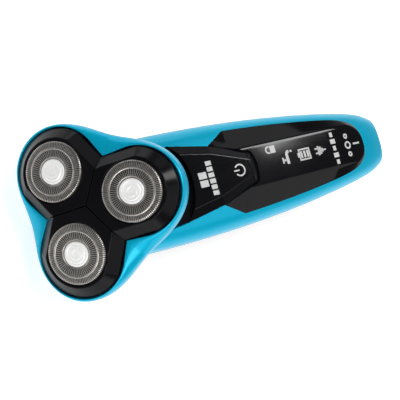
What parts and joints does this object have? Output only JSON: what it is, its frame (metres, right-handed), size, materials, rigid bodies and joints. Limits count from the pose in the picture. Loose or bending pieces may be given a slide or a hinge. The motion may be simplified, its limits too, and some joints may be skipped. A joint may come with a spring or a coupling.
{
  "type": "electric shaver",
  "caption": "Handheld rotary shaver with a tilted three-lobed head of floating round cutters, a glossy panel, a rocking power button and a charging inlet.",
  "frame": {"origin": "centre of the flat face of the rest pad on the back of the handle", "axes": "+Z out of the front panel, +X along the handle towards the tail, head at -X"},
  "size_m": [0.1585, 0.0674, 0.0598],
  "materials": {
    "blue_shell": "metallic lacquer, glossy",
    "gloss_black": "piano black, glossy",
    "satin_black": "moulded, satin",
    "rubber_black": "matte, ribbed",
    "steel": "fine brushed",
    "bright_metal": "bright satin",
    "white_plastic": "natural acetal",
    "brass_contact": "plated",
    "board_green": "solder mask",
    "battery_wrap": "shrink sleeve"
  },
  "bodies": {
    "handle": {"front_shell": "blue_shell", "rear_shell": "satin_black", "rest_pad": "rubber_black", "shell_screw_1": "steel", "shell_screw_2": "steel", "shell_screw_3": "steel", "shell_screw_4": "steel", "display_panel": "gloss_black", "button_hinge_pin": "steel", "circuit_board": "board_green", "tact_switch": "satin_black", "indicator_lamp_1": "white_plastic", "indicator_lamp_2": "white_plastic", "indicator_lamp_3": "white_plastic", "indicator_lamp_4": "white_plastic", "light_guide": "white_plastic", "battery": "battery_wrap", "battery_cradle": "satin_black", "charge_socket": "satin_black", "charge_pin_left": "brass_contact", "charge_pin_right": "brass_contact", "neck_plate": "satin_black", "motor": "steel", "motor_bracket": "white_plastic"},
    "button": {"power_button": "gloss_black"},
    "plunger": {"switch_plunger": "white_plastic"},
    "rotor": {"motor_shaft": "steel", "shaft_cross_pin": "steel"},
    "head_mount": {"neck_plug": "satin_black"},
    "gimbal": {"gimbal_ring": "white_plastic"},
    "head": {"head_shell": "blue_shell", "gear_tray": "satin_black", "gear_cover": "satin_black", "lobe_hinge_pin_1": "steel", "lobe_hinge_pin_2": "steel", "lobe_hinge_pin_3": "steel"},
    "centre_drive": {"centre_gear": "white_plastic"},
    "lobe_1": {"lobe_cover_1": "gloss_black", "guard_retainer_1": "satin_black"},
    "guard_1": {"cutter_guard_1": "steel", "centre_cap_1": "bright_metal"},
    "cutter_1": {"cutter_wheel_1": "steel", "cutter_spring_1": "steel"},
    "drive_1": {"lobe_gear_1": "white_plastic"},
    "lobe_2": {"lobe_cover_2": "gloss_black", "guard_retainer_2": "satin_black"},
    "guard_2": {"cutter_guard_2": "steel", "centre_cap_2": "bright_metal"},
    "cutter_2": {"cutter_wheel_2": "steel", "cutter_spring_2": "steel"},
    "drive_2": {"lobe_gear_2": "white_plastic"},
    "lobe_3": {"lobe_cover_3": "gloss_black", "guard_retainer_3": "satin_black"},
    "guard_3": {"cutter_guard_3": "steel", "centre_cap_3": "bright_metal"},
    "cutter_3": {"cutter_wheel_3": "steel", "cutter_spring_3": "steel"},
    "drive_3": {"lobe_gear_3": "white_plastic"}
  },
  "joints": [
    {"name": "button_press", "type": "hinge", "parent": "handle", "child": "button", "pos_m": [-0.0215, 0, 0.03483], "axis": [0, 1, 0], "range_deg": [0, 1], "stiffness_Nm_per_rad": 5},
    {"name": "plunger_travel", "type": "slide", "parent": "handle", "child": "plunger", "axis": [0, 0, -1], "range_m": [0, 0.00051]},
    {"name": "motor_spin", "type": "hinge", "parent": "handle", "child": "rotor", "pos_m": [-0.04775, 0, 0.02661], "axis": [-0.7314, 0, 0.682], "continuous": true},
    {"name": "head_release", "type": "slide", "parent": "handle", "child": "head_mount", "axis": [-0.7314, 0, 0.682], "range_m": [0, 0.014]},
    {"name": "head_nod", "type": "hinge", "parent": "head_mount", "child": "gimbal", "pos_m": [-0.04775, 0, 0.02661], "axis": [0, 1, 0], "range_deg": [-6, 6], "stiffness_Nm_per_rad": 1},
    {"name": "head_roll", "type": "hinge", "parent": "gimbal", "child": "head", "pos_m": [-0.04775, 0, 0.02661], "axis": [0.682, 0, 0.7314], "range_deg": [-6, 6], "stiffness_Nm_per_rad": 1},
    {"name": "centre_gear_spin", "type": "hinge", "parent": "head", "child": "centre_drive", "pos_m": [-0.04775, 0, 0.02661], "axis": [-0.7314, 0, 0.682], "continuous": true},
    {"name": "lobe_1_fold", "type": "hinge", "parent": "head", "child": "lobe_1", "pos_m": [-0.05147, 0, 0.03692], "axis": [0, 1, 0], "range_deg": [0, 4], "stiffness_Nm_per_rad": 0.4},
    {"name": "guard_1_float", "type": "slide", "parent": "lobe_1", "child": "guard_1", "axis": [0.6691, 0, -0.7431], "range_m": [0, 0.0012], "stiffness_N_per_m": 800, "deforming": ["cutter_spring_1"]},
    {"name": "cutter_1_spin", "type": "hinge", "parent": "guard_1", "child": "cutter_1", "pos_m": [-0.04759, 0, 0.05134], "axis": [-0.6691, 0, 0.7431], "continuous": true},
    {"name": "gear_1_spin", "type": "hinge", "parent": "head", "child": "drive_1", "pos_m": [-0.03972, 0, 0.04329], "axis": [-0.7314, 0, 0.682], "continuous": true},
    {"name": "lobe_2_fold", "type": "hinge", "parent": "head", "child": "lobe_2", "pos_m": [-0.05659, 0.00433, 0.03143], "axis": [-0.5906, -0.5, -0.6334], "range_deg": [0, 4], "stiffness_Nm_per_rad": 0.4},
    {"name": "guard_2_float", "type": "slide", "parent": "lobe_2", "child": "guard_2", "axis": [0.7583, -0.0755, -0.6475], "range_m": [0, 0.0012], "stiffness_N_per_m": 800, "deforming": ["cutter_spring_2"]},
    {"name": "cutter_2_spin", "type": "hinge", "parent": "guard_2", "child": "cutter_2", "pos_m": [-0.06621, 0.01576, 0.03138], "axis": [-0.7583, 0.0755, 0.6475], "continuous": true},
    {"name": "gear_2_spin", "type": "hinge", "parent": "head", "child": "drive_2", "pos_m": [-0.0578, 0.0153, 0.0239], "axis": [-0.7314, 0, 0.682], "continuous": true},
    {"name": "lobe_3_fold", "type": "hinge", "parent": "head", "child": "lobe_3", "pos_m": [-0.05659, -0.00433, 0.03143], "axis": [0.5906, -0.5, 0.6334], "range_deg": [0, 4], "stiffness_Nm_per_rad": 0.4},
    {"name": "guard_3_float", "type": "slide", "parent": "lobe_3", "child": "guard_3", "axis": [0.7583, 0.0755, -0.6475], "range_m": [0, 0.0012], "stiffness_N_per_m": 800, "deforming": ["cutter_spring_3"]},
    {"name": "cutter_3_spin", "type": "hinge", "parent": "guard_3", "child": "cutter_3", "pos_m": [-0.06621, -0.01576, 0.03138], "axis": [-0.7583, -0.0755, 0.6475], "continuous": true},
    {"name": "gear_3_spin", "type": "hinge", "parent": "head", "child": "drive_3", "pos_m": [-0.0578, -0.0153, 0.0239], "axis": [-0.7314, 0, 0.682], "continuous": true}
  ],
  "couplings": [
    {"joint": "plunger_travel", "follows": "button_press", "m_per_rad": 0.029},
    {"joint": "centre_gear_spin", "follows": "motor_spin", "ratio": 1},
    {"joint": "cutter_1_spin", "follows": "motor_spin", "ratio": -0.68},
    {"joint": "gear_1_spin", "follows": "motor_spin", "ratio": -0.68},
    {"joint": "cutter_2_spin", "follows": "motor_spin", "ratio": -0.68},
    {"joint": "gear_2_spin", "follows": "motor_spin", "ratio": -0.68},
    {"joint": "cutter_3_spin", "follows": "motor_spin", "ratio": -0.68},
    {"joint": "gear_3_spin", "follows": "motor_spin", "ratio": -0.68}
  ]
}
